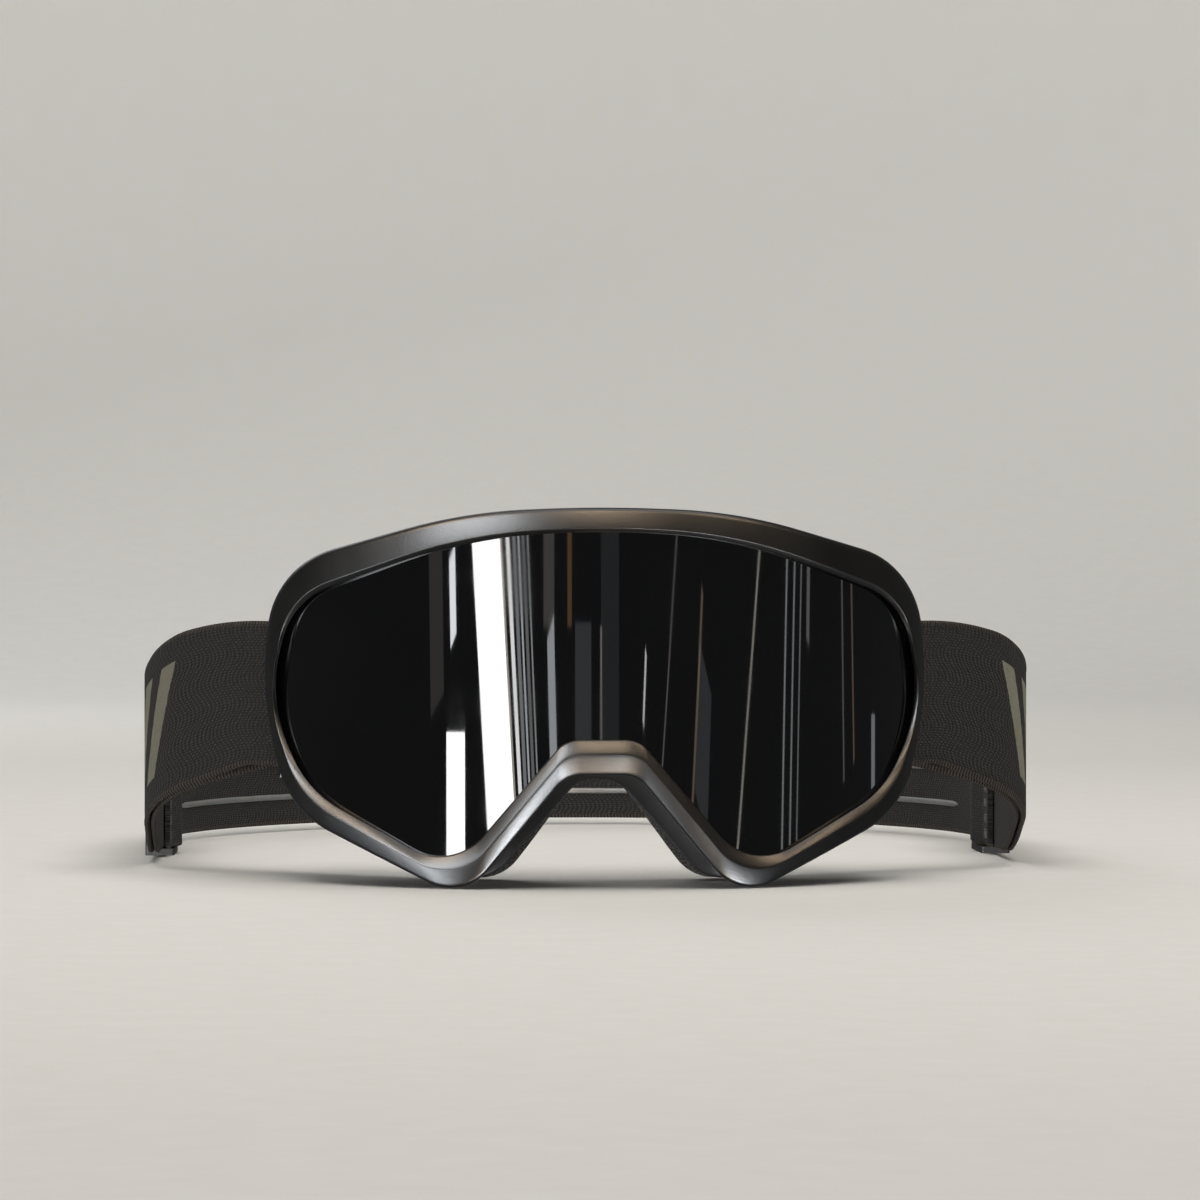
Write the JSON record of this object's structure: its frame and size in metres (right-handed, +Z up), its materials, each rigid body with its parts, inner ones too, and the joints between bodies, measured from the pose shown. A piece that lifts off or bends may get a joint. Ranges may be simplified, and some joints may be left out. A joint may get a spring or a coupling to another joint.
{
  "type": "riding goggles",
  "caption": "Riding goggles: one-piece cylindrical dark double lens in a moulded frame with face foam, and a wide knitted elastic head strap with ladder sliders.",
  "frame": {"origin": "middle of the underside, on the surface that the goggles stand on", "axes": "+Y from the lens towards the back of the strap, +X towards the wearer's left, +Z up"},
  "size_m": [0.2588, 0.325, 0.1021],
  "materials": {
    "frame": "matte black moulded",
    "lens": "dark glossy lens",
    "lens_seal": "soft black spacer foam",
    "foam": "charcoal open foam",
    "fleece": "charcoal brushed fleece",
    "strap": "charcoal knitted elastic",
    "slider": "matte black moulded",
    "thread": "black sewing thread",
    "silicone": "translucent silicone"
  },
  "bodies": {
    "root": {"frame": "frame", "outer_lens": "lens", "lens_spacer": "lens_seal", "inner_lens": "lens", "foam_base": "foam", "foam_middle": "foam", "foam_fleece": "fleece", "top_vent_foam": "foam", "lower_vent_foam_left": "foam", "lower_vent_foam_right": "foam", "strap_side_left": "strap", "strap_side_right": "strap", "strap_return_left": "strap", "strap_return_right": "strap"},
    "strap_rear": {"strap_back": "strap", "strap_grip_lower": "silicone", "strap_grip_middle": "silicone", "strap_grip_upper": "silicone"},
    "left_slider": {"slider_left": "slider", "tail_stitches_left": "thread"},
    "right_slider": {"slider_right": "slider", "tail_stitches_right": "thread"}
  },
  "joints": [
    {"name": "strap_stretch", "type": "slide", "parent": "root", "child": "strap_rear", "axis": [0, 1, 0], "range_m": [-0.012, 0.025], "stiffness_N_per_m": 60, "deforming": ["strap_side_left", "strap_side_right"]},
    {"name": "slider_left_adjust", "type": "slide", "parent": "root", "child": "left_slider", "axis": [0, 1, 0], "range_m": [-0.01, 0.01], "deforming": ["strap_return_left"]},
    {"name": "slider_right_adjust", "type": "slide", "parent": "root", "child": "right_slider", "axis": [0, 1, 0], "range_m": [-0.01, 0.01], "deforming": ["strap_return_right"]}
  ]
}
